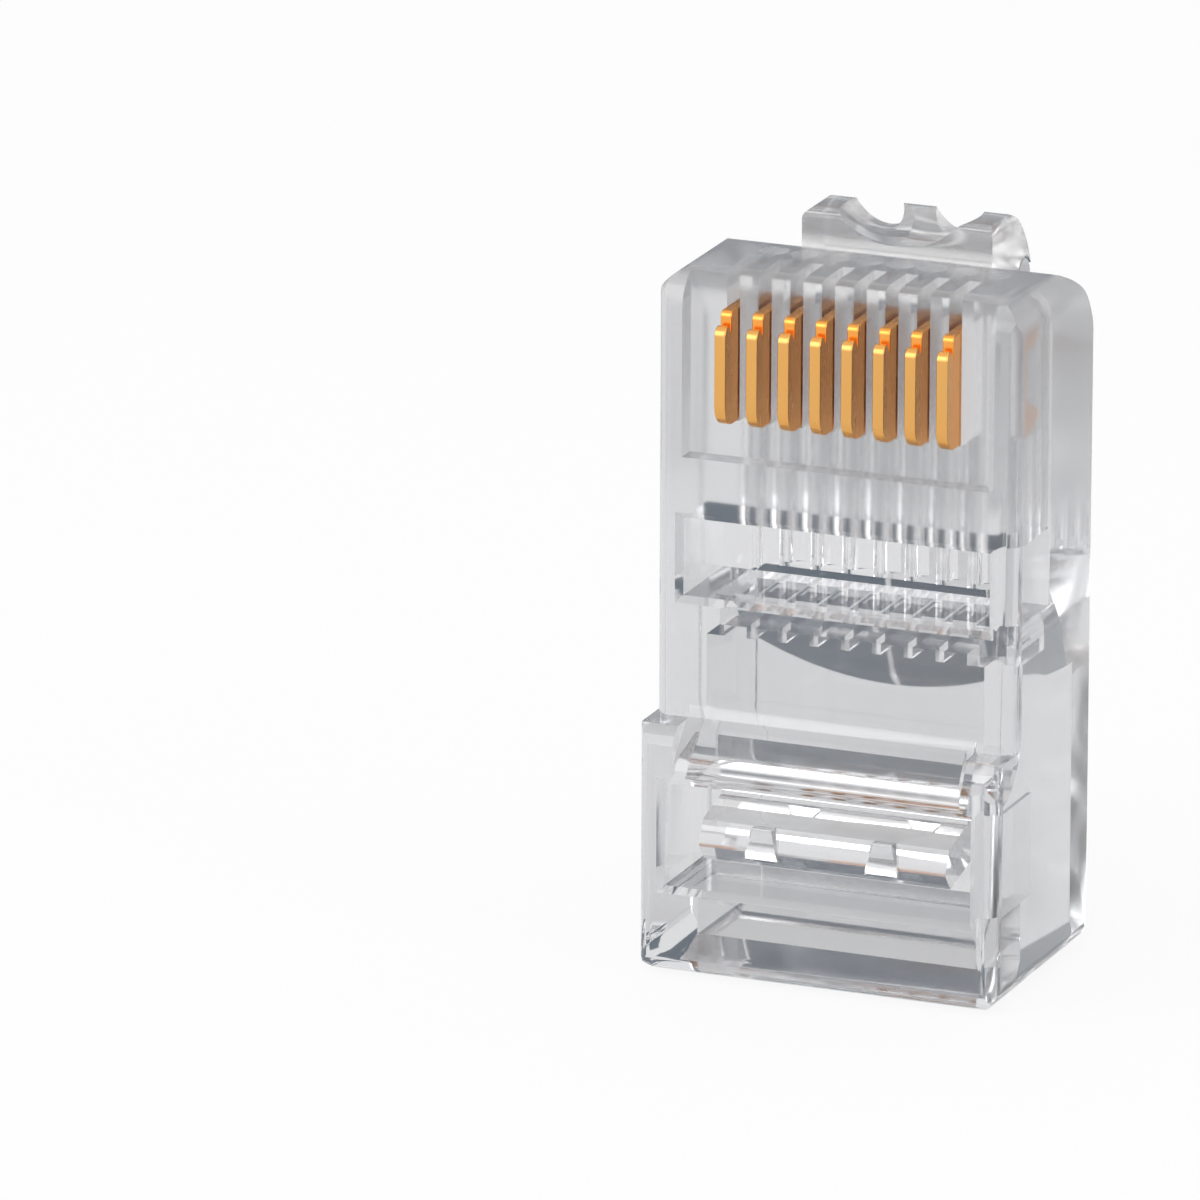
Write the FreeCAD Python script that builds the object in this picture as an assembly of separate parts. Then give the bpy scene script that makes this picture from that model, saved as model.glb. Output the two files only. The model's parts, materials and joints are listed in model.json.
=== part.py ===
import FreeCAD, Part
import math
import os
from FreeCAD import Vector

# Modular plug, eight positions and eight contacts, with its sprung latch.
#
# Millimetres. The plug stands on its cable end: +Z points to the nose that goes into the jack,
# -Y is the contact side, +Y the latch side, and X runs across the row of contacts.
# The origin is the middle of the cable end face.

# Body
BODY_WIDTH = 11.68
BODY_LENGTH = 21.85
CABLE_END_THICKNESS = 8.0
NOSE_THICKNESS = 6.6
STEP_HEIGHT = 7.87          # how far the thick cable end reaches at its two side rails
STEP_DROP = 0.44            # fall of the step face towards the front
STEP_ROUND = 0.15
RAIL_WIDTH = 1.2            # of the rails each side of the sloped panel
PANEL_TOP = 8.5             # the sloped panel between the rails
PANEL_BEND_RADIUS = 0.9
PANEL_SLOPE = 45.0
LONG_EDGE_RADIUS = 0.6      # of the two on the contact side
BACK_LONG_EDGE_RADIUS = 0.15
NOSE_EDGE_RADIUS = 1.2      # front edge of the nose
NOSE_CORNER_RADIUS = 1.1    # corners of the nose seen from the front
NOSE_BACK_RADIUS = 3.0
CABLE_END_FRONT_RADIUS = 0.9
CABLE_END_BACK_RADIUS = 0.3
CABLE_END_CORNER_RADIUS = 0.85

# Cable cavity
CAVITY_WIDTH = 9.0
CAVITY_THICKNESS = 4.2
CAVITY_FLOOR_WALL = 0.7     # between the cavity and the latch side
CAVITY_CORNER_RADIUS = 1.2
MOUTH_FLARE_DEPTH = 0.9
MOUTH_FRONT_FLARE = 0.9
MOUTH_SIDE_FLARE = 0.4
MOUTH_BACK_FLARE = 0.25
CLAMP_EDGE_RADIUS = 2.2     # round of the front wall's inner edge, above the lower window
RAMP_LENGTH = 3.6
RAMP_ARC_RADIUS = 8.9

# Wire row
CONTACT_COUNT = 8
CONTACT_PITCH = 1.02
GROOVE_RADIUS = 0.46
WIRE_ROOF_DEPTH = 3.5       # from the front of the nose
WIRE_GROOVE_DEPTH = 0.53    # from the roof to the axis of a groove
WIRE_STOP_WALL = 1.05       # solid end of the grooves at the nose
GUIDE_WIDTH = 0.74          # of the eight guide notches in the ceiling of the cavity
GUIDE_HEIGHT = 0.35

# Windows for the two cable clamps
WINDOW_WIDTH = 9.9
WINDOW_FLARE = 0.2
WIRE_WINDOW_DROP = 7.75     # from the nose to its top
WIRE_WINDOW_HEIGHT = 2.45
WIRE_WINDOW_DEPTH = 3.5
WIRE_WINDOW_SILL = 1.4      # thickness of the bar below it
WIRE_SLOT_HEIGHT = 1.5
JACKET_WINDOW_BOTTOM = 2.85
JACKET_WINDOW_TOP = 6.1

# Jacket clamp bar
BAR_WIDTH = 8.0
BAR_SETBACK = 0.6           # of its front edge, from the front of the cable end
BAR_DEPTH = 2.2
BAR_TOP = 5.24
BAR_NOSE_TOP = 4.86
BAR_NOSE = 4.1
BAR_KEEL = 3.58             # lowest edge of the bar
BAR_HEEL = 3.99             # back end of its underside
BAR_NOSE_TOP_SETBACK = 0.3
BAR_KEEL_SETBACK = 0.43
BAR_HINGE_THICKNESS = 0.35
RIB_SPACING = 3.9
RIB_FOOT_WIDTH = 1.08
RIB_TOP_WIDTH = 0.66
RIB_BOTTOM = 3.87
RIB_TOP = 4.88
RIB_THICKNESS = 0.4

# Contacts
BLADE_THICKNESS = 0.36
BLADE_CLEARANCE = 0.03      # to each wall of its slot
BLADE_PROUD = 0.42          # of the nose, before the plug is crimped
BLADE_TRAVEL = 0.98         # pushed in by the crimp
BLADE_STOP_GAP = 0.14       # left between a crimped blade and the roof of the wire row
BLADE_DROP = 1.1            # from the nose to the top of a blade
BLADE_HEIGHT = 3.55
BLADE_BOTTOM_RADIUS = 0.7
BLADE_SHOULDER_DROP = 0.4   # from the top of a blade
BLADE_SHOULDER_RADIUS = 0.3
BEAD_SETBACK = 0.5
BEAD_NOTCH = 0.22
TINE_LENGTH = 1.05
TINE_WIDTH = 0.9
TINE_TIP_WIDTH = 0.2
RECESS_LENGTH = 5.8         # of the recess round the contacts, from the nose
RECESS_DEPTH = 0.7
SLOT_DEPTH = 2.4            # of the open front part of each slot, from the front of the nose

# Latch root on the nose, and the lever behind it
LATCH_WIDTH = 6.17
LATCH_TAB_WIDTH = 3.25
ROOT_RISE = 0.85            # above the nose
ROOT_FRONT_SETBACK = 1.55   # from the latch side, to the front of the root
ROOT_TOP_DEPTH = 1.95
ROOT_EDGE_RADIUS = 0.25
NOTCH_SPACING = 2.6
NOTCH_DEPTH = 0.98
NOTCH_RADIUS = 0.785
MOUTH_NOTCH_SPACING = 0.4   # the two notches run together at the front of the root
MOUTH_NOTCH_DEPTH = 0.82
MOUTH_NOTCH_RADIUS = 2.2
HINGE_RADIUS = 0.55
HINGE_CLEARANCE = 0.05
HINGE_STANDOFF = 1.22       # from the latch side
HINGE_DROP = 1.25           # below the nose
LEVER_ANGLE = 14.0
LEVER_LENGTH = 13.6
LEVER_SHOULDER = 7.4        # along the lever, where it steps down to the tab
LEVER_TIP_THICKNESS = 0.85

# Derived places
BACK_Y = CABLE_END_THICKNESS / 2
CABLE_END_FRONT_Y = -CABLE_END_THICKNESS / 2
NOSE_FRONT_Y = BACK_Y - NOSE_THICKNESS
CAVITY_BACK_Y = BACK_Y - CAVITY_FLOOR_WALL
CAVITY_FRONT_Y = CAVITY_BACK_Y - CAVITY_THICKNESS
WIRE_ROOF_Y = NOSE_FRONT_Y + WIRE_ROOF_DEPTH
GROOVE_Y = WIRE_ROOF_Y + WIRE_GROOVE_DEPTH
WIRE_FLOOR_Y = GROOVE_Y + GROOVE_RADIUS
WIRE_WINDOW_TOP = BODY_LENGTH - WIRE_WINDOW_DROP
WIRE_WINDOW_BOTTOM = WIRE_WINDOW_TOP - WIRE_WINDOW_HEIGHT
WIRE_WINDOW_BACK_Y = NOSE_FRONT_Y + WIRE_WINDOW_DEPTH
CAVITY_CEILING = WIRE_WINDOW_BOTTOM - WIRE_WINDOW_SILL
WIRE_ROW_WIDTH = CONTACT_COUNT * CONTACT_PITCH
WIRE_ROW_START = WIRE_WINDOW_BOTTOM - WINDOW_FLARE / 2
WIRE_ROW_END = BODY_LENGTH - WIRE_STOP_WALL
RAMP_START = WIRE_ROW_START - RAMP_LENGTH
BLADE_FRONT_Y = NOSE_FRONT_Y - BLADE_PROUD
BLADE_BACK_Y = WIRE_ROOF_Y - BLADE_STOP_GAP - BLADE_TRAVEL
BLADE_TOP = BODY_LENGTH - BLADE_DROP
BLADE_BOTTOM = BLADE_TOP - BLADE_HEIGHT
ROOT_TOP = BODY_LENGTH + ROOT_RISE
ROOT_FRONT_Y = BACK_Y - ROOT_FRONT_SETBACK
HINGE_Y = BACK_Y + HINGE_STANDOFF
HINGE_Z = BODY_LENGTH - HINGE_DROP
PAST = 1.0                  # how far a cutting shape runs past a face


def contact_places():
    """X of each contact, from left to right."""
    first = -CONTACT_PITCH * (CONTACT_COUNT - 1) / 2
    return [first + CONTACT_PITCH * number for number in range(CONTACT_COUNT)]


def box(x_range, y_range, z_range):
    """A box between two limits on each axis."""
    size = [high - low for low, high in (x_range, y_range, z_range)]
    return Part.makeBox(*size, Vector(x_range[0], y_range[0], z_range[0]))


def across(half_width):
    """Limits that reach the same way to both sides of the middle."""
    return (-half_width, half_width)


def side_prism(outline, width, x_middle=0.0):
    """Extrude an outline drawn in (y, z) across the plug. A point given as a pair of points is the
    middle and end of an arc."""
    return _prism(outline, lambda y, z: Vector(x_middle - width / 2, y, z), Vector(width, 0, 0))


def front_prism(outline, y_low, y_high):
    """Extrude an outline drawn in (x, z) from front to back."""
    return _prism(outline, lambda x, z: Vector(x, y_low, z), Vector(0, y_high - y_low, 0))


def plan_prism(outline, z_low, z_high):
    """Extrude an outline drawn in (x, y) upwards."""
    return _prism(outline, lambda x, y: Vector(x, y, z_low), Vector(0, 0, z_high - z_low))


def _prism(outline, place, sweep):
    edges = []
    start = place(*outline[0])
    current = start
    for item in outline[1:] + [outline[0]]:
        if isinstance(item[0], tuple):
            middle, end = (place(*point) for point in item)
            edges.append(Part.Arc(current, middle, end).toShape())
        else:
            end = place(*item)
            if end.isEqual(current, 1e-6):
                continue
            edges.append(Part.makeLine(current, end))
        current = end
    return Part.Face(Part.Wire(edges)).extrude(sweep)


def corner(point, radius, start_angle, turn):
    """The arc item of a rounded right-angled corner whose centre is point."""
    def on_arc(angle):
        return (point[0] + radius * math.cos(angle), point[1] + radius * math.sin(angle))
    start = math.radians(start_angle)
    sweep = math.radians(turn)
    return (on_arc(start + sweep / 2), on_arc(start + sweep))


def rounded_rectangle(x_range, y_range, radii):
    """Outline of a rectangle, its corners rounded anticlockwise from the low x, low y one."""
    low_x, high_x = x_range
    low_y, high_y = y_range
    first, second, third, fourth = radii
    return [
        (low_x + first, low_y),
        (high_x - second, low_y),
        corner((high_x - second, low_y + second), second, -90, 90),
        (high_x, high_y - third),
        corner((high_x - third, high_y - third), third, 0, 90),
        (low_x + fourth, high_y),
        corner((low_x + fourth, high_y - fourth), fourth, 90, 90),
        (low_x, low_y + first),
        corner((low_x + first, low_y + first), first, 180, 90),
    ]


def body_side_outline():
    """The body seen from its side: thick cable end, step, nose with its rounded back edge."""
    front = CABLE_END_FRONT_RADIUS
    back = CABLE_END_BACK_RADIUS
    nose = NOSE_EDGE_RADIUS
    slope = math.degrees(math.atan2(STEP_DROP, NOSE_FRONT_Y - CABLE_END_FRONT_Y))
    step_corner = (CABLE_END_FRONT_Y + STEP_ROUND, STEP_HEIGHT - STEP_DROP - STEP_ROUND)
    return [
        (CABLE_END_FRONT_Y + front, 0),
        (BACK_Y - back, 0),
        corner((BACK_Y - back, back), back, -90, 90),
        (BACK_Y, BODY_LENGTH - NOSE_BACK_RADIUS),
        corner((BACK_Y - NOSE_BACK_RADIUS, BODY_LENGTH - NOSE_BACK_RADIUS), NOSE_BACK_RADIUS, 0, 90),
        (NOSE_FRONT_Y + nose, BODY_LENGTH),
        corner((NOSE_FRONT_Y + nose, BODY_LENGTH - nose), nose, 90, 90),
        (NOSE_FRONT_Y, STEP_HEIGHT),
        corner(step_corner, STEP_ROUND, 90 + slope, 90 - slope),
        (CABLE_END_FRONT_Y, front),
        corner((CABLE_END_FRONT_Y + front, front), front, 180, 90),
    ]


def sloped_panel():
    """The panel between the rails: it bends out from the nose and back to the front of the cable end."""
    radius = PANEL_BEND_RADIUS
    slope = math.radians(PANEL_SLOPE)
    bend = radius * (1 - math.cos(slope))
    step = NOSE_FRONT_Y - CABLE_END_FRONT_Y
    rise = 2 * radius * math.sin(slope) + (step - 2 * bend) / math.tan(slope)
    upper = (NOSE_FRONT_Y - radius, PANEL_TOP)
    lower = (CABLE_END_FRONT_Y + radius, PANEL_TOP - rise)
    outline = [
        (NOSE_FRONT_Y + PAST, PANEL_TOP),
        (NOSE_FRONT_Y, PANEL_TOP),
        corner(upper, radius, 0, -PANEL_SLOPE),
        (lower[0] - radius * math.cos(slope), lower[1] + radius * math.sin(slope)),
        corner(lower, radius, 180 - PANEL_SLOPE, PANEL_SLOPE),
        (NOSE_FRONT_Y + PAST, PANEL_TOP - rise),
    ]
    width = BODY_WIDTH - 2 * RAIL_WIDTH
    space = box(across(width / 2), (CABLE_END_FRONT_Y - PAST, NOSE_FRONT_Y), (PANEL_TOP - rise, PANEL_TOP))
    return space, side_prism(outline, width)


def body_blank():
    """The outside of the body, without any hollow."""
    half = BODY_WIDTH / 2
    end = CABLE_END_CORNER_RADIUS
    nose = NOSE_CORNER_RADIUS
    side = side_prism(body_side_outline(), BODY_WIDTH)
    front = front_prism(
        rounded_rectangle(across(half), (0, BODY_LENGTH), (end, end, nose, nose)),
        CABLE_END_FRONT_Y, BACK_Y)
    radii = (LONG_EDGE_RADIUS,) * 2 + (BACK_LONG_EDGE_RADIUS,) * 2
    cable_end = plan_prism(
        rounded_rectangle(across(half), (CABLE_END_FRONT_Y, BACK_Y), radii), 0, STEP_HEIGHT)
    nose_part = plan_prism(
        rounded_rectangle(across(half), (NOSE_FRONT_Y, BACK_Y), radii), 0, BODY_LENGTH)
    space, panel = sloped_panel()
    return side.common(front).common(cable_end.fuse(nose_part)).cut(space).fuse(panel)


def ramp():
    """The slope on the back wall of the cavity that lifts the wires to their row. Its foot is an arc."""
    outline = [
        (CAVITY_BACK_Y + PAST, RAMP_START),
        (CAVITY_BACK_Y, RAMP_START),
        (WIRE_FLOOR_Y, WIRE_ROW_START),
        (WIRE_FLOOR_Y, WIRE_ROW_START + PAST),
        (CAVITY_BACK_Y + PAST, WIRE_ROW_START + PAST),
    ]
    wedge = side_prism(outline, CAVITY_WIDTH + PAST)
    low_end = Vector(0, -BODY_WIDTH / 2, RAMP_START + RAMP_ARC_RADIUS)
    disc = Part.makeCylinder(RAMP_ARC_RADIUS, BODY_WIDTH, low_end, Vector(0, 1, 0))
    return wedge.common(disc)


def cable_cavity():
    """The hollow for the cable jacket, from the mouth up to the wire row."""
    top = WIRE_ROW_START + CONTACT_PITCH / 4
    outline = [
        (CAVITY_FRONT_Y, -PAST),
        (CAVITY_BACK_Y, -PAST),
        (CAVITY_BACK_Y, top),
        (WIRE_ROOF_Y, top),
        (WIRE_ROOF_Y, CAVITY_CEILING),
        (CAVITY_FRONT_Y, CAVITY_CEILING),
    ]
    side = side_prism(outline, CAVITY_WIDTH)
    radius = CAVITY_CORNER_RADIUS
    front = front_prism(
        rounded_rectangle(across(CAVITY_WIDTH / 2), (-2 * PAST, top), (PAST / 2, PAST / 2, radius, radius)),
        CAVITY_FRONT_Y, CAVITY_BACK_Y)
    inner = (across(CAVITY_WIDTH / 2), (CAVITY_FRONT_Y, CAVITY_BACK_Y))
    outer = (across(CAVITY_WIDTH / 2 + MOUTH_SIDE_FLARE),
             (CAVITY_FRONT_Y - MOUTH_FRONT_FLARE, CAVITY_BACK_Y + MOUTH_BACK_FLARE))
    flare = flare_loft(outer, inner, MOUTH_FLARE_DEPTH, lambda x, y, z: Vector(x, y, z))
    return side.common(front).cut(ramp()).multiFuse([flare] + guide_notches())


def flare_loft(outer, inner, depth, place):
    """The bevelled mouth of an opening, from its outer rectangle to the inner one at a depth. Each
    rectangle is two pairs of limits, and place turns two places across it and a depth into a point."""
    def rectangle(limits, height):
        (low_a, high_a), (low_b, high_b) = limits
        pairs = ((low_a, low_b), (high_a, low_b), (high_a, high_b), (low_a, high_b))
        corners = [place(a, b, height) for a, b in pairs]
        return Part.makePolygon(corners + corners[:1])
    return Part.makeLoft([rectangle(outer, 0), rectangle(inner, depth)], True)


def guide_notches():
    """Eight notches in the ceiling of the cavity that guide the wires to their grooves."""
    return [box((x - GUIDE_WIDTH / 2, x + GUIDE_WIDTH / 2), (CAVITY_FRONT_Y, WIRE_ROOF_Y),
                (CAVITY_CEILING - GUIDE_HEIGHT, CAVITY_CEILING + GUIDE_HEIGHT)) for x in contact_places()]


def wire_holes():
    """Eight round holes side by side, one for each wire."""
    length = WIRE_ROW_END - WIRE_ROW_START
    return [Part.makeCylinder(GROOVE_RADIUS, length, Vector(x, GROOVE_Y, WIRE_ROW_START), Vector(0, 0, 1))
            for x in contact_places()]


def window(front_y, back_y, z_range):
    """A window in the contact side, its front edges flared."""
    sides = across(WINDOW_WIDTH / 2)
    opening = box(sides, (front_y, back_y), z_range)
    outer = (across(WINDOW_WIDTH / 2 + WINDOW_FLARE), (z_range[0] - WINDOW_FLARE, z_range[1] + WINDOW_FLARE))
    flare = flare_loft(outer, (sides, z_range), WINDOW_FLARE,
                       lambda x, z, depth: Vector(x, front_y + depth, z))
    return opening.fuse(flare)


def wire_window():
    """The upper window, and the slot at its foot that opens on the wires."""
    opening = window(NOSE_FRONT_Y, WIRE_WINDOW_BACK_Y, (WIRE_WINDOW_BOTTOM, WIRE_WINDOW_TOP))
    slot = box(across(WIRE_ROW_WIDTH / 2), (WIRE_WINDOW_BACK_Y - PAST, WIRE_ROOF_Y + GROOVE_RADIUS / 2),
               (WIRE_WINDOW_BOTTOM, WIRE_WINDOW_BOTTOM + WIRE_SLOT_HEIGHT))
    return opening.fuse(slot)


def jacket_window():
    """The lower window, open from the front of the cable end to the cavity. The inner edge of the wall
    above it is rounded, so the cavity widens there."""
    radius = CLAMP_EDGE_RADIUS
    low = JACKET_WINDOW_TOP - PAST
    start = CAVITY_FRONT_Y - radius
    rounding = side_prism([
        (start, low),
        (CAVITY_FRONT_Y + PAST, low),
        (CAVITY_FRONT_Y + PAST, JACKET_WINDOW_TOP + radius),
        (CAVITY_FRONT_Y, JACKET_WINDOW_TOP + radius),
        corner((start, JACKET_WINDOW_TOP + radius), radius, 0, -90),
    ], CAVITY_WIDTH)
    opening = window(CABLE_END_FRONT_Y, CAVITY_FRONT_Y + PAST / 2, (JACKET_WINDOW_BOTTOM, JACKET_WINDOW_TOP))
    return opening.fuse(rounding)


def contact_recess():
    """The shallow recess round the contacts, open to the nose. The blades stand out of it."""
    return box(across(WINDOW_WIDTH / 2), (NOSE_FRONT_Y - PAST, NOSE_FRONT_Y + RECESS_DEPTH),
               (BODY_LENGTH - RECESS_LENGTH, BODY_LENGTH + PAST))


def contact_slot(x):
    """The slot of one contact: an open groove to the nose, and a pocket through to the wire row."""
    half = BLADE_THICKNESS / 2 + BLADE_CLEARANCE
    sides = (x - half, x + half)
    low = BLADE_BOTTOM - BLADE_CLEARANCE
    groove = box(sides, (NOSE_FRONT_Y - PAST, NOSE_FRONT_Y + SLOT_DEPTH), (low, BODY_LENGTH + PAST))
    pocket = box(sides, (NOSE_FRONT_Y - PAST, GROOVE_Y), (low, BLADE_TOP + BLADE_CLEARANCE))
    return groove.fuse(pocket)


def jacket_clamp():
    """The bar that the crimp drives onto the cable jacket, hung from a thin hinge in its window."""
    front = CABLE_END_FRONT_Y + BAR_SETBACK
    back = front + BAR_DEPTH
    hinge_front = back - BAR_HINGE_THICKNESS
    hinge_top = JACKET_WINDOW_TOP + CLAMP_EDGE_RADIUS
    outline = [
        (front, BAR_NOSE),
        (front + BAR_KEEL_SETBACK, BAR_KEEL),
        (back, BAR_HEEL),
        (back, hinge_top),
        (hinge_front, hinge_top),
        (hinge_front, BAR_TOP),
        (front + BAR_NOSE_TOP_SETBACK, BAR_NOSE_TOP),
    ]
    return side_prism(outline, BAR_WIDTH)


def clamp_ribs():
    """The two small ribs on the nose of the clamp bar that bite into the cable jacket."""
    front = CABLE_END_FRONT_Y + BAR_SETBACK
    ribs = []
    for x in (-RIB_SPACING / 2, RIB_SPACING / 2):
        outline = [
            (x - RIB_FOOT_WIDTH / 2, RIB_BOTTOM),
            (x + RIB_FOOT_WIDTH / 2, RIB_BOTTOM),
            (x + RIB_TOP_WIDTH / 2, RIB_TOP),
            (x - RIB_TOP_WIDTH / 2, RIB_TOP),
        ]
        ribs.append(front_prism(outline, front - RIB_THICKNESS / 4, front + 2 * RIB_THICKNESS))
    return ribs


def latch_root():
    """The notched block on the nose that carries the latch lever, with a hood over the lever's end."""
    edge = ROOT_EDGE_RADIUS
    hood = HINGE_RADIUS + ROOT_RISE / 2
    back = HINGE_Y + hood * math.sin(math.radians(LEVER_ANGLE))
    side = side_prism([
        (ROOT_FRONT_Y, BODY_LENGTH - NOSE_BACK_RADIUS),
        (BACK_Y - HINGE_RADIUS, HINGE_Z - HINGE_RADIUS),
        (HINGE_Y - HINGE_RADIUS, HINGE_Z),
        (HINGE_Y, HINGE_Z),
        (HINGE_Y + HINGE_RADIUS, HINGE_Z + HINGE_RADIUS / 2),
        ((back, HINGE_Z + hood), (ROOT_FRONT_Y + ROOT_TOP_DEPTH, ROOT_TOP)),
        (ROOT_FRONT_Y + edge, ROOT_TOP),
        corner((ROOT_FRONT_Y + edge, ROOT_TOP - edge), edge, 90, 90),
    ], LATCH_WIDTH)
    low = BODY_LENGTH - NOSE_BACK_RADIUS - PAST
    front = front_prism(
        rounded_rectangle(across(LATCH_WIDTH / 2), (low, ROOT_TOP), (edge, edge, edge, edge)),
        ROOT_FRONT_Y, HINGE_Y + 2 * HINGE_RADIUS)
    socket = Part.makeCylinder(HINGE_RADIUS + HINGE_CLEARANCE, LATCH_WIDTH + PAST,
                               Vector(-(LATCH_WIDTH + PAST) / 2, HINGE_Y, HINGE_Z), Vector(1, 0, 0))
    return side.common(front).cut([socket, root_notch(-1), root_notch(1)])


def root_notch(side):
    """One round notch in the root. It widens and turns to the middle towards the contact side."""
    narrow_y = ROOT_FRONT_Y + ROOT_TOP_DEPTH
    axis = Vector(0, 1, 0)
    narrow = Vector(side * NOTCH_SPACING / 2, narrow_y, ROOT_TOP - NOTCH_DEPTH + NOTCH_RADIUS)
    wide_z = ROOT_TOP - MOUTH_NOTCH_DEPTH + MOUTH_NOTCH_RADIUS
    wide = Vector(side * MOUTH_NOTCH_SPACING / 2, ROOT_FRONT_Y, wide_z)
    circles = [Part.Wire(Part.makeCircle(radius, middle, axis))
               for radius, middle in ((NOTCH_RADIUS, narrow), (MOUTH_NOTCH_RADIUS, wide))]
    straight = Part.makeCylinder(NOTCH_RADIUS, HINGE_Y + HINGE_RADIUS + PAST - narrow_y, narrow, axis)
    return Part.makeLoft(circles, True, True).fuse(straight)


def housing():
    """The clear moulding: body, cavity, windows, slots, clamp bar and latch root in one piece."""
    shape = body_blank().fuse(latch_root())
    hollows = [cable_cavity(), wire_window(), jacket_window(), contact_recess()]
    hollows += wire_holes() + [contact_slot(x) for x in contact_places()]
    shape = shape.cut(hollows)
    return shape.multiFuse([jacket_clamp()] + clamp_ribs()).removeSplitter()


def contact_blade(x):
    """One gold-plated contact: a blade with a beaded top corner and two pointed tines."""
    front = BLADE_FRONT_Y
    back = BLADE_BACK_Y
    foot = BLADE_BOTTOM_RADIUS
    shoulder = BLADE_SHOULDER_RADIUS
    shoulder_z = BLADE_TOP - BLADE_SHOULDER_DROP
    bead_y = front + BEAD_SETBACK
    bead = BLADE_SHOULDER_DROP / 2
    outline = [
        (front + foot, BLADE_BOTTOM),
        *tine(BLADE_BOTTOM),
        *tine(BLADE_TOP - TINE_WIDTH),
        (back, BLADE_TOP),
        (bead_y + bead, BLADE_TOP),
        corner((bead_y + bead, BLADE_TOP - bead), bead, 90, 90),
        (bead_y, shoulder_z - BEAD_NOTCH),
        (front + shoulder, shoulder_z),
        corner((front + shoulder, shoulder_z - shoulder), shoulder, 90, 90),
        (front, BLADE_BOTTOM + foot),
        corner((front + foot, BLADE_BOTTOM + foot), foot, 180, 90),
    ]
    return side_prism(outline, BLADE_THICKNESS, x)


def tine(z_low):
    """Outline of one pointed tine, from its lower root to its upper root."""
    back = BLADE_BACK_Y
    tip = back + TINE_LENGTH
    middle = z_low + TINE_WIDTH / 2
    return [
        (back, z_low),
        (back + TINE_LENGTH / 2, z_low),
        (tip, middle - TINE_TIP_WIDTH / 2),
        (tip, middle + TINE_TIP_WIDTH / 2),
        (back + TINE_LENGTH / 2, z_low + TINE_WIDTH),
        (back, z_low + TINE_WIDTH),
    ]


def latch_lever():
    """The sprung lever: wide at its shoulders, narrow at the finger tab, round at its root."""
    radius = HINGE_RADIUS
    tip = LEVER_TIP_THICKNESS
    side = side_prism([
        (HINGE_Y - radius, HINGE_Z),
        (HINGE_Y + radius - tip, HINGE_Z - LEVER_LENGTH + tip / 2),
        ((HINGE_Y + radius - tip / 2, HINGE_Z - LEVER_LENGTH),
         (HINGE_Y + radius, HINGE_Z - LEVER_LENGTH + tip / 2)),
        (HINGE_Y + radius, HINGE_Z),
        ((HINGE_Y, HINGE_Z + radius), (HINGE_Y - radius, HINGE_Z)),
    ], LATCH_WIDTH)
    shoulder_z = HINGE_Z - LEVER_SHOULDER
    wide = LATCH_WIDTH / 2
    narrow = LATCH_TAB_WIDTH / 2
    foot = narrow / 2
    low = HINGE_Z - LEVER_LENGTH
    plan = front_prism([
        (-narrow + foot, low),
        (narrow - foot, low),
        corner((narrow - foot, low + foot), foot, -90, 90),
        (narrow, shoulder_z),
        (wide, shoulder_z),
        (wide, HINGE_Z + 2 * radius),
        (-wide, HINGE_Z + 2 * radius),
        (-wide, shoulder_z),
        (-narrow, shoulder_z),
        (-narrow, low + foot),
        corner((-narrow + foot, low + foot), foot, 180, 90),
    ], HINGE_Y - 2 * radius, HINGE_Y + 2 * radius)
    lever = side.common(plan)
    lever.rotate(Vector(0, HINGE_Y, HINGE_Z), Vector(1, 0, 0), LEVER_ANGLE)
    return lever


def main():
    """Build every piece and write it under its node's name."""
    os.makedirs("parts", exist_ok=True)
    nodes = {"housing": housing(), "latch_lever": latch_lever()}
    for number, x in enumerate(contact_places(), start=1):
        nodes[f"contact_{number}"] = contact_blade(x)
    for name, shape in nodes.items():
        shape.exportStep(f"parts/{name}.step")
        print(name, shape.ShapeType, len(shape.Solids), shape.isValid(), round(shape.Volume, 3))


main()
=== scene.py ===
import json
import logging
import math
from dataclasses import dataclass, field
from enum import Enum
from typing import Any, List, Mapping, Optional, Sequence, Tuple, Union

import bmesh
import bpy
from mathutils import Matrix, Vector

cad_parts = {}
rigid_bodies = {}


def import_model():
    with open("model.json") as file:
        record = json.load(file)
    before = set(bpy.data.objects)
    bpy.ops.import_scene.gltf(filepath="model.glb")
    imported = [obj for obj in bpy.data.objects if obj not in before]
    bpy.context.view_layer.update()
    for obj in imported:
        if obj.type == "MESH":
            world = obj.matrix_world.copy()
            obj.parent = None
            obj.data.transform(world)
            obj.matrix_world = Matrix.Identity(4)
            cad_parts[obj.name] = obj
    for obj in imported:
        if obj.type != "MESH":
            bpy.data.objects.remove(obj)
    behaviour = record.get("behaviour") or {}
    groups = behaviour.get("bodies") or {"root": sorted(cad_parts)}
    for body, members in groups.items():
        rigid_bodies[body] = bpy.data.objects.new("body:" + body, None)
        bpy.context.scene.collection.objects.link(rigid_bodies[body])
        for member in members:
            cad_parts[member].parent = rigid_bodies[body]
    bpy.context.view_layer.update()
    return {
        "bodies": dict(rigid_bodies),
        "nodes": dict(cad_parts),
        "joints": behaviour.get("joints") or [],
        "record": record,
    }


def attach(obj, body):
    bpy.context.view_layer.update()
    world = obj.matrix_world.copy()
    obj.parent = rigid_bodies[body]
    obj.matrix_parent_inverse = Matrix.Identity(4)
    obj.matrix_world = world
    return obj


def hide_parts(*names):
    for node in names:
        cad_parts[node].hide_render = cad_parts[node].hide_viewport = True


LOG = logging.getLogger("modular_plug")
MM = 0.001
LIGHT_BOUNCES = 24  # light turns back many times inside the clear body

Colour = Tuple[float, float, float]
Point = Tuple[float, float, float]
WHITE: Colour = (1.0, 1.0, 1.0)
BLACK: Colour = (0.0, 0.0, 0.0)


class BodyName(Enum):
    """The bodies of the plug that pieces ride on."""

    HOUSING = "body"
    LATCH = "latch"
    BLADE = "blade_{}"


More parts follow.
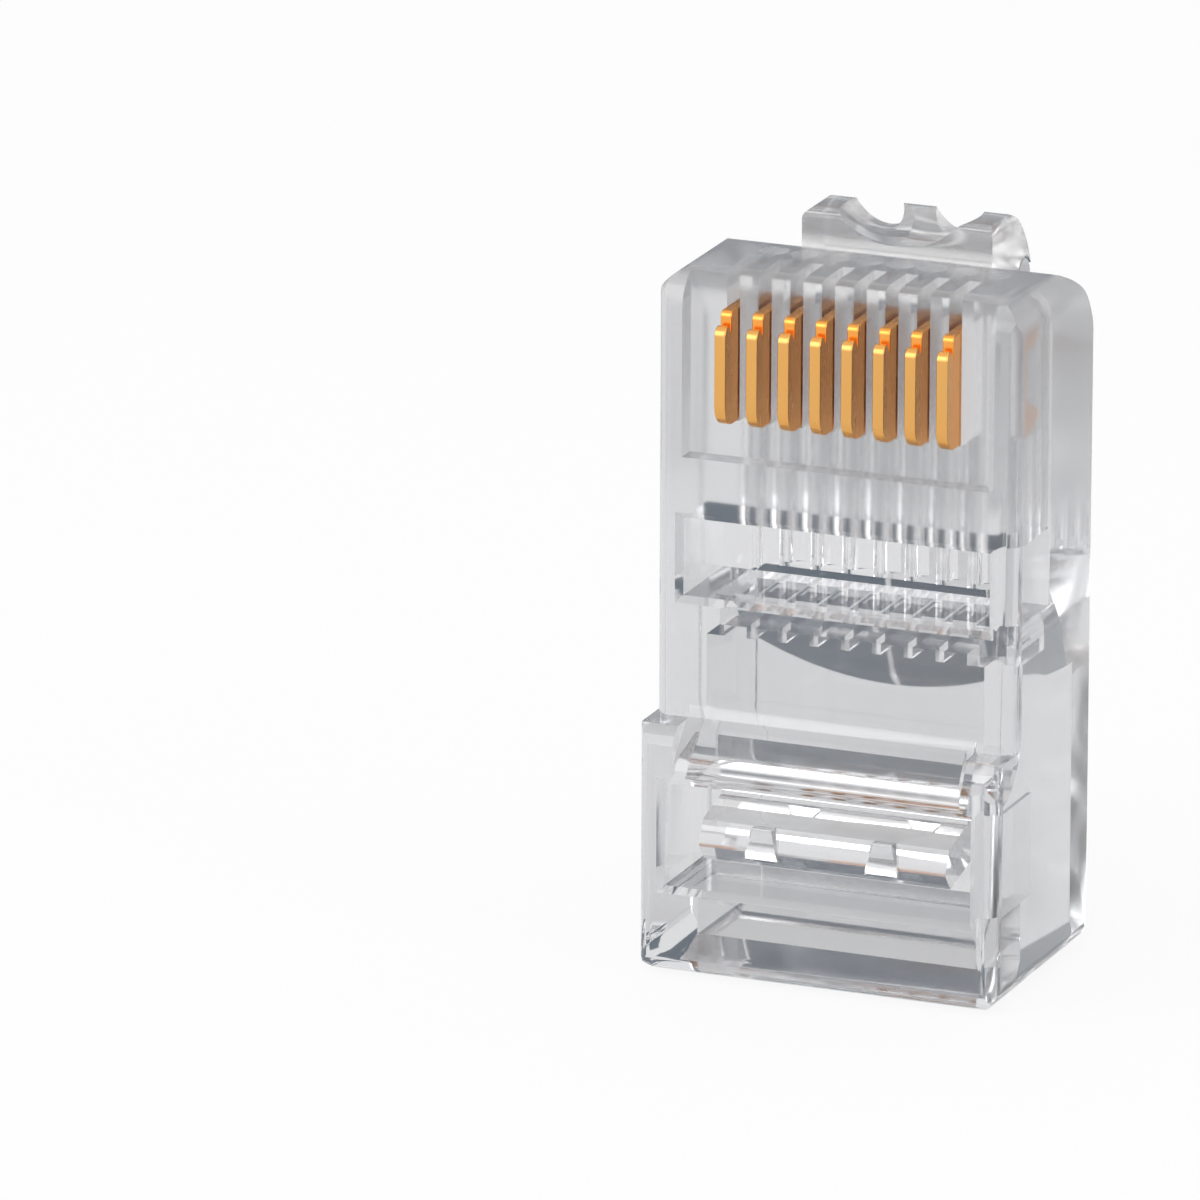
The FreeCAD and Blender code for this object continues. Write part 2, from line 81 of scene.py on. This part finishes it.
class SlotName(Enum):
    """The material slots of the record."""

    CLEAR = "clear_plastic"
    GOLD = "gold_plate"


class RayKind(Enum):
    """The kinds of ray that a stage material tells apart."""

    CAMERA = "Is Camera Ray"
    GLOSSY = "Is Glossy Ray"
    TRANSMISSION = "Is Transmission Ray"


def opaque(colour: Sequence[float]) -> Tuple[float, ...]:
    """A colour with full alpha, as colour sockets take it."""
    return (*colour, 1.0)


class Socket:
    """One output of a shader node, with the arithmetic that a value can take."""

    def __init__(self, bench: "ShaderBench", output: Optional[bpy.types.NodeSocket]) -> None:
        """Keep the output and the bench whose nodes it belongs to."""
        self.bench = bench
        self.output = output

    def _math(self, operation: str, first: Any, second: Any) -> "Socket":
        """Add one Math node.

        Args:
            operation: Blender's name of the operation.
            first: left value or socket.
            second: right value or socket.

        Returns:
            The result's socket.
        """
        return self.bench.add("ShaderNodeMath", {"operation": operation}, {0: first, 1: second})

    def __add__(self, other: Any) -> "Socket":
        """Sum."""
        return self._math("ADD", self, other)

    def __radd__(self, other: Any) -> "Socket":
        """Sum, reflected."""
        return self._math("ADD", other, self)

    def __sub__(self, other: Any) -> "Socket":
        """Difference."""
        return self._math("SUBTRACT", self, other)

    def __rsub__(self, other: Any) -> "Socket":
        """Difference, reflected."""
        return self._math("SUBTRACT", other, self)

    def __mul__(self, other: Any) -> "Socket":
        """Product."""
        return self._math("MULTIPLY", self, other)

    def __rmul__(self, other: Any) -> "Socket":
        """Product, reflected."""
        return self._math("MULTIPLY", other, self)

    def maximum(self, other: Any) -> "Socket":
        """The larger of this and another value."""
        return self._math("MAXIMUM", self, other)


class ShaderBench:
    """Adds nodes to one node tree and links them."""

    MIX_FIRST = 6
    MIX_SECOND = 7
    MIX_RESULT = 2

    def __init__(self, tree: bpy.types.NodeTree) -> None:
        """Start with an empty tree."""
        self.tree = tree
        tree.nodes.clear()

    def add(
        self,
        node_type: str,
        settings: Optional[Mapping[str, Any]] = None,
        inputs: Optional[Mapping[Union[int, str], Any]] = None,
        output: Union[int, str] = 0,
    ) -> Socket:
        """Add a node, make its settings first and then fill its sockets.

        Args:
            node_type: Blender's type name of the node.
            settings: attributes of the node; "stops" sets the stops of a ramp.
            inputs: values or sockets, by the input's name or number.
            output: the output to return.

        Returns:
            The chosen output, or an empty socket for a node without outputs.
        """
        node = self.tree.nodes.new(node_type)
        for name, value in (settings or {}).items():
            if name == "stops":
                self._set_stops(node, value)
            else:
                setattr(node, name, value)
        for name, value in (inputs or {}).items():
            if isinstance(value, Socket):
                self.tree.links.new(value.output, node.inputs[name])
            else:
                node.inputs[name].default_value = value
        if not node.outputs:
            return Socket(self, None)
        return Socket(self, node.outputs[output])

    @staticmethod
    def _set_stops(node: bpy.types.Node, stops: Sequence[Tuple[float, Sequence[float]]]) -> None:
        """Set the stops of a colour ramp.

        Args:
            node: the ramp.
            stops: position and colour of each stop, in order.
        """
        elements = node.color_ramp.elements
        while len(elements) < len(stops):
            elements.new(1.0)
        for element, (position, colour) in zip(elements, stops):
            element.position = position
            element.color = colour

    def place(self) -> Socket:
        """The place of a surface point in its object's own frame."""
        return self.add("ShaderNodeTexCoord", None, None, "Object")

    def scaled(self, place: Socket, scale: Sequence[float]) -> Socket:
        """A place scaled along each axis."""
        return self.add("ShaderNodeMapping", None, {"Vector": place, "Scale": scale})

    def axis(self, place: Socket, letter: str) -> Socket:
        """One coordinate of a place."""
        return self.add("ShaderNodeSeparateXYZ", None, {"Vector": place}, letter)

    def noise(self, place: Socket, scale: float, detail: float, roughness: float = 0.5) -> Socket:
        """Soft noise from 0 to 1.

        Args:
            place: where the noise is read.
            scale: its fineness, in waves over a metre.
            detail: how many finer layers it has.
            roughness: how strong the finer layers are.

        Returns:
            The noise's value.
        """
        inputs = {"Vector": place, "Scale": scale, "Detail": detail, "Roughness": roughness}
        return self.add("ShaderNodeTexNoise", None, inputs, "Fac")

    def rise(
        self, value: Socket, start: float, end: float, low: float = 0.0, high: float = 1.0
    ) -> Socket:
        """Go from low to high while a value goes from start to end, and stay level outside.

        Args:
            value: the value that is followed.
            start: where the result leaves low.
            end: where the result reaches high.
            low: first result.
            high: last result.

        Returns:
            The result's socket.
        """
        limits = {"From Min": start, "From Max": end, "To Min": low, "To Max": high}
        return self.add("ShaderNodeMapRange", None, {"Value": value, **limits})

    def mix_colour(
        self, factor: Any, low: Union[Socket, Colour], high: Sequence[float]
    ) -> Socket:
        """Mix two colours.

        Args:
            factor: 0 for the first colour and 1 for the second.
            low: first colour, or the socket it comes from.
            high: second colour.

        Returns:
            The mixed colour.
        """
        first = low if isinstance(low, Socket) else opaque(low)
        inputs = {0: factor, self.MIX_FIRST: first, self.MIX_SECOND: opaque(high)}
        return self.add("ShaderNodeMix", {"data_type": "RGBA"}, inputs, self.MIX_RESULT)

    def bump(self, height: Socket, strength: float, distance: float) -> Socket:
        """A normal that follows a height."""
        inputs = {"Strength": strength, "Distance": distance, "Height": height}
        return self.add("ShaderNodeBump", None, inputs)

    def glow(self, colour: Colour) -> Socket:
        """Plain light of one colour."""
        return self.add("ShaderNodeEmission", None, {"Color": opaque(colour), "Strength": 1.0})

    def ray(self, kind: RayKind) -> Socket:
        """1 where a ray is of a kind and 0 elsewhere."""
        return self.add("ShaderNodeLightPath", None, None, kind.value)

    def finish_surface(self, shader: Socket, depth: Optional[Socket] = None) -> None:
        """End the material.

        Args:
            shader: its surface.
            depth: what its depth does to light, for a clear material.
        """
        links = {"Surface": shader, "Volume": depth} if depth else {"Surface": shader}
        self.add("ShaderNodeOutputMaterial", None, links)


def new_material(name: str) -> Tuple[bpy.types.Material, ShaderBench]:
    """Make an empty node material.

    Args:
        name: its name.

    Returns:
        The material and a bench for its nodes.
    """
    material = bpy.data.materials.new(name)
    material.use_nodes = True
    return material, ShaderBench(material.node_tree)


@dataclass(frozen=True)
class ClearPlasticFinish:
    """Clear polycarbonate, polished round the cable, finely etched at the nose, with faint flow
    lines and scuffs; its tint is painted paler at the nose's tip as painted light on the top of
    the plug."""

    name: str = "clear_polycarbonate"
    tint: Colour = (0.83, 0.832, 0.84)
    scuff_tint: Colour = (0.8, 0.802, 0.81)
    # painted light: a paler tint at the nose's tip stands in for light falling on the top of the
    # plug
    tip_painted_light_tint: Colour = (0.985, 0.98, 0.978)
    tip_from: float = 20.6 * MM
    tip_at: float = 21.6 * MM
    depth_colour: Colour = (0.5, 0.51, 0.54)
    depth_density: float = 36.0
    ior: float = 1.58
    polished: float = 0.05
    etched: float = 0.2
    etched_from: float = 13.6 * MM
    etched_at: float = 15.2 * MM
    flow_scale: float = 260.0
    flow_stretch: float = 0.35
    flow_detail: float = 3.0
    flow_roughness: float = 0.55
    flow_share: float = 0.7
    speck_scale: float = 2080.0
    speck_detail: float = 2.0
    speck_share: float = 0.3
    scuff_from: float = 0.56
    scuff_at: float = 0.72
    scuffed: float = 0.06
    ripple: float = 0.02
    ripple_height: float = 0.05 * MM

    def build(self) -> bpy.types.Material:
        """Make the material.

        Returns:
            The finished material.
        """
        material, bench = new_material(self.name)
        place = bench.place()
        stretched = bench.scaled(place, (1.0, 1.0, self.flow_stretch))
        flow = bench.noise(stretched, self.flow_scale, self.flow_detail, self.flow_roughness)
        speck = bench.noise(place, self.speck_scale, self.speck_detail)
        stops = [(self.scuff_from, opaque(BLACK)), (self.scuff_at, opaque(WHITE))]
        marks = flow * self.flow_share + speck * self.speck_share
        scuff = bench.add("ShaderNodeValToRGB", {"stops": stops}, {"Fac": marks})
        height = bench.axis(place, "Z")
        etch = bench.rise(height, self.etched_from, self.etched_at, self.polished, self.etched)
        # painted light: this mask rises over the top of the nose, where the paler tint is mixed in
        tip = bench.rise(height, self.tip_from, self.tip_at)
        colour = bench.mix_colour(scuff, self.tint, self.scuff_tint)
        colour = bench.mix_colour(tip, colour, self.tip_painted_light_tint)
        shader = bench.add(
            "ShaderNodeBsdfPrincipled", None,
            {
                "Base Color": colour,
                "Roughness": scuff * self.scuffed + etch,
                "IOR": self.ior,
                "Transmission Weight": 1.0,
                "Normal": bench.bump(flow, self.ripple, self.ripple_height),
            },
        )
        depth = bench.add(
            "ShaderNodeVolumeAbsorption", None,
            {"Color": opaque(self.depth_colour), "Density": self.depth_density},
        )
        bench.finish_surface(shader, depth)
        return material


@dataclass(frozen=True)
class GoldPlateFinish:
    """Gold plate, bright on the contact edge and painted a deeper orange further back along the
    stamped sides as painted shade, with fine rolling lines."""

    name: str = "gold_plate"
    bright: Colour = (0.76, 0.42, 0.13)
    # painted shade: the deeper orange of the sides stands in for their shade behind the contact
    # edge
    side_painted_shade: Colour = (0.9, 0.38, 0.08)
    edge_y: float = -3.02 * MM
    # painted shade: distance behind the contact edge over which the painted shade comes in
    painted_shade_depth: float = 0.55 * MM
    smooth: float = 0.16
    drawn: float = 0.34
    line_scale: float = 5400.0
    line_stretch: float = 0.12
    line_detail: float = 4.0
    line_strength: float = 0.12
    line_height: float = 0.01 * MM
    cloud_scale: float = 900.0
    cloud_detail: float = 2.0
    cloud_share: float = 0.3

    def build(self) -> bpy.types.Material:
        """Make the material.

        Returns:
            The finished material.
        """
        material, bench = new_material(self.name)
        place = bench.place()
        along = bench.scaled(place, (1.0, 1.0, self.line_stretch))
        lines = bench.noise(along, self.line_scale, self.line_detail)
        cloud = bench.noise(place, self.cloud_scale, self.cloud_detail)
        depth = bench.axis(place, "Y") - self.edge_y
        cloudy = depth + cloud * (self.cloud_share * self.painted_shade_depth)
        # painted shade: the colour turns deeper orange further back from the contact edge
        side_painted_shade_mask = bench.rise(cloudy, 0.0, self.painted_shade_depth)
        shader = bench.add(
            "ShaderNodeBsdfPrincipled", None,
            {
                "Base Color": bench.mix_colour(side_painted_shade_mask, self.bright, self.side_painted_shade),
                "Roughness": lines * (self.drawn - self.smooth) + self.smooth,
                "Metallic": 1.0,
                "Normal": bench.bump(lines, self.line_strength, self.line_height),
            },
        )
        bench.finish_surface(shader)
        return material


@dataclass(frozen=True)
class FloorFinish:
    """Pale matt studio paper: near white to the camera, which still sees the plug's shadow, and
    half plain white to what the plug reflects and bends."""

    name: str = "studio_paper"
    shade: Colour = (0.8, 0.8, 0.805)
    roughness: float = 0.9
    seen_white: float = 0.9
    glass_shade: Colour = WHITE
    glass_even: float = 0.5

    def build(self) -> bpy.types.Material:
        """Make the material.

        Returns:
            The finished material.
        """
        material, bench = new_material(self.name)
        paper = bench.add(
            "ShaderNodeBsdfPrincipled", None,
            {"Base Color": opaque(self.shade), "Roughness": self.roughness},
        )
        bent = bench.ray(RayKind.GLOSSY).maximum(bench.ray(RayKind.TRANSMISSION))
        even = {0: bent * self.glass_even, 1: paper, 2: bench.glow(self.glass_shade)}
        pale = bench.add("ShaderNodeMixShader", None, even)
        white = {0: bench.ray(RayKind.CAMERA) * self.seen_white, 1: pale, 2: bench.glow(WHITE)}
        bench.finish_surface(bench.add("ShaderNodeMixShader", None, white))
        return material


@dataclass(frozen=True)
class CardFinish:
    """The plain slate of the card behind the plug."""

    name: str = "slate_flag"
    shade: Colour = (0.13, 0.16, 0.195)

    def build(self) -> bpy.types.Material:
        """Make the material.

        Returns:
            The finished material.
        """
        material, bench = new_material(self.name)
        bench.finish_surface(bench.glow(self.shade))
        return material


@dataclass
class DressedSolid:
    """A solid's own mesh with its edges broken, as its tool leaves them."""

    node: str
    body: str
    slot: SlotName
    edge_break: float
    edge_steps: int = 2
    sharp_angle: float = 28.0
    flat_angle: float = 1.0
    merge: float = 0.002 * MM

    def build(self, frame: Mapping[str, Any], finish: bpy.types.Material) -> bpy.types.Object:
        """Make the piece and put it in place of its solid.

        Args:
            frame: the loaded frame.
            finish: material of the piece.

        Returns:
            The new piece.
        """
        mesh = frame["nodes"][self.node].data.copy()
        self._clean(mesh)
        mesh.materials.clear()
        mesh.materials.append(finish)
        piece = bpy.data.objects.new(f"{self.node}_dressed", mesh)
        bpy.context.scene.collection.objects.link(piece)
        bevel = piece.modifiers.new("edge_break", "BEVEL")
        bevel.width = self.edge_break
        bevel.segments = self.edge_steps
        bevel.limit_method = "ANGLE"
        bevel.angle_limit = math.radians(self.sharp_angle)
        bevel.harden_normals = True
        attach(piece, self.body)
        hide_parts(self.node)
        return piece

    def _clean(self, mesh: bpy.types.Mesh) -> None:
        """Drop the stored normals, weld the mesh and join its flat triangles into whole faces.

        Args:
            mesh: the copied mesh, which is changed.
        """
        for name in ("custom_normal", "sharp_edge", "sharp_face"):
            if name in mesh.attributes:
                mesh.attributes.remove(mesh.attributes[name])
        edit = bmesh.new()
        edit.from_mesh(mesh)
        bmesh.ops.remove_doubles(edit, verts=edit.verts, dist=self.merge)
        flat = math.radians(self.flat_angle)
        bmesh.ops.dissolve_limit(edit, angle_limit=flat, verts=edit.verts, edges=edit.edges)
        for face in edit.faces:
            face.smooth = True
        edit.to_mesh(mesh)
        edit.free()


@dataclass
class ClearMouldings:
    """The clear body and its latch lever."""

    edge_break: float = 0.07 * MM

    def build(
        self, frame: Mapping[str, Any], finish: bpy.types.Material
    ) -> List[bpy.types.Object]:
        """Dress both mouldings.

        Args:
            frame: the loaded frame.
            finish: the clear plastic.

        Returns:
            The body and the lever.
        """
        return [
            DressedSolid(node, body.value, SlotName.CLEAR, self.edge_break).build(frame, finish)
            for node, body in (("housing", BodyName.HOUSING), ("latch_lever", BodyName.LATCH))
        ]


@dataclass
class ContactRow:
    """The eight gold-plated contact blades."""

    count: int = 8
    edge_break: float = 0.14 * MM
    edge_steps: int = 4

    def build(
        self, frame: Mapping[str, Any], finish: bpy.types.Material
    ) -> List[bpy.types.Object]:
        """Dress every blade.

        Args:
            frame: the loaded frame.
            finish: the gold plate.

        Returns:
            The blades, in order along the row.
        """
        blades = []
        for number in range(1, self.count + 1):
            node = f"contact_{number}"
            body = BodyName.BLADE.value.format(number)
            solid = DressedSolid(node, body, SlotName.GOLD, self.edge_break, self.edge_steps)
            blades.append(solid.build(frame, finish))
        return blades


@dataclass(frozen=True)
class SoftBox:
    """One square lamp."""

    name: str
    place: Point
    size: float
    power: float

    def hang(self, aim: Point) -> None:
        """Hang the lamp in its place.

        Args:
            aim: the point it is turned to.
        """
        data = bpy.data.lights.new(self.name, "AREA")
        data.size = self.size
        data.energy = self.power
        lamp = bpy.data.objects.new(self.name, data)
        lamp.location = self.place
        towards = Vector(aim) - Vector(self.place)
        lamp.rotation_euler = towards.to_track_quat("-Z", "Y").to_euler()
        bpy.context.scene.collection.objects.link(lamp)


@dataclass
class Studio:
    """Floor, slate card, backdrop, lamps and camera round the plug."""

    azimuth: float = 22.18
    elevation: float = 16.85
    roll: float = 0.19
    distance: float = 0.45
    lens: float = 442.5
    near_clip: float = 0.01
    aim: Point = (-8.65 * MM, 0.0, 10.385 * MM)
    floor_size: float = 3.0
    floor_drop: float = 0.02 * MM
    floor_finish: FloorFinish = field(default_factory=FloorFinish)
    card_finish: CardFinish = field(default_factory=CardFinish)
    card_distance: float = 0.1
    card_height: float = 0.07
    card_spread: float = 32.0
    card_columns: int = 16
    world_grey: float = 0.75
    lamp_aim: Point = (0.0, 0.0, 0.01)
    lamps: Tuple[SoftBox, ...] = (
        SoftBox("key_box", (-0.3, -0.32, 0.25), 0.42, 1.1),
        SoftBox("right_box", (0.4, -0.1, 0.12), 0.15, 0.3),
        SoftBox("top_box", (0.05, -0.22, 0.42), 0.16, 0.35),
    )

    def build(self) -> None:
        """Make the floor, the card, the backdrop, the lamps and the camera."""
        self._build_floor()
        self._build_card()
        self._build_world()
        for lamp in self.lamps:
            lamp.hang(self.lamp_aim)
        self._build_camera()

    @staticmethod
    def _stand(
        name: str,
        points: Sequence[Point],
        faces: Sequence[Tuple[int, ...]],
        finish: bpy.types.Material,
    ) -> bpy.types.Object:
        """Make one object of the stage.

        Args:
            name: name of the object and its mesh.
            points: corners of the mesh.
            faces: the corners' numbers for each face.
            finish: its material.

        Returns:
            The object.
        """
        mesh = bpy.data.meshes.new(name)
        mesh.from_pydata(points, [], faces)
        mesh.materials.append(finish)
        stage = bpy.data.objects.new(name, mesh)
        bpy.context.scene.collection.objects.link(stage)
        return stage

    def _build_floor(self) -> None:
        """Lay the floor a hair under the plug."""
        half = self.floor_size / 2
        corners = [(-half, -half, 0.0), (half, -half, 0.0), (half, half, 0.0), (-half, half, 0.0)]
        floor = self._stand("floor", corners, [(0, 1, 2, 3)], self.floor_finish.build())
        floor.location.z = -self.floor_drop

    def _build_card(self) -> None:
        """Stand a curved slate card behind the plug, where only the plug's own reflections and
        refractions show it."""
        points = []
        for height in (0.0, self.card_height):
            for number in range(self.card_columns + 1):
                turn = self.card_spread * (2 * number / self.card_columns - 1)
                angle = math.radians(self.azimuth + turn)
                across = -self.card_distance * math.sin(angle)
                points.append((across, self.card_distance * math.cos(angle), height))
        row = self.card_columns + 1
        faces = [(n, n + 1, row + n + 1, row + n) for n in range(self.card_columns)]
        card = self._stand("slate_card", points, faces, self.card_finish.build())
        card.visible_camera = False
        card.visible_diffuse = False
        card.visible_shadow = False

    def _build_world(self) -> None:
        """Make a backdrop that is white where it is seen, directly or in the plug, and that
        lights the rest as a soft grey."""
        world = bpy.data.worlds.new("studio")
        world.use_nodes = True
        bpy.context.scene.world = world
        bench = ShaderBench(world.node_tree)
        seen = bench.ray(RayKind.CAMERA).maximum(bench.ray(RayKind.GLOSSY))
        seen = seen.maximum(bench.ray(RayKind.TRANSMISSION))
        strength = seen * (1.0 - self.world_grey) + self.world_grey
        backdrop = {"Color": opaque(WHITE), "Strength": strength}
        shader = bench.add("ShaderNodeBackground", None, backdrop)
        bench.add("ShaderNodeOutputWorld", None, {"Surface": shader})

    def _build_camera(self) -> None:
        """Stand the camera at its distance, level apart from a slight roll."""
        azimuth = math.radians(self.azimuth)
        elevation = math.radians(self.elevation)
        roll = math.radians(self.roll)
        flat = math.cos(elevation)
        back = Vector((
            math.sin(azimuth) * flat, -math.cos(azimuth) * flat, math.sin(elevation)
        ))
        level = Vector((math.cos(azimuth), math.sin(azimuth), 0.0))
        upright = back.cross(level)
        right = math.cos(roll) * level + math.sin(roll) * upright
        up = back.cross(right)
        data = bpy.data.cameras.new("camera")
        data.lens = self.lens
        data.clip_start = self.near_clip
        camera = bpy.data.objects.new("camera", data)
        turn = Matrix((right, up, back)).transposed().to_4x4()
        camera.matrix_world = Matrix.Translation(Vector(self.aim) + self.distance * back) @ turn
        bpy.context.scene.collection.objects.link(camera)
        bpy.context.scene.camera = camera


def set_light_paths(scene: bpy.types.Scene) -> None:
    """Let light turn back often enough to leave the clear body, and show plain colours.

    Args:
        scene: the scene that is rendered.
    """
    scene.view_settings.view_transform = "Standard"
    scene.cycles.max_bounces = LIGHT_BOUNCES
    scene.cycles.transmission_bounces = LIGHT_BOUNCES
    scene.cycles.glossy_bounces = LIGHT_BOUNCES


def main() -> None:
    """Dress the plug and set up its studio."""
    logging.basicConfig(level=logging.INFO)
    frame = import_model()
    clear = ClearPlasticFinish().build()
    gold = GoldPlateFinish().build()
    pieces = ClearMouldings().build(frame, clear) + ContactRow().build(frame, gold)
    for piece in pieces:
        LOG.info("%s: %d faces", piece.name, len(piece.data.polygons))
    Studio().build()
    set_light_paths(bpy.context.scene)


if __name__ == "__main__":
    main()
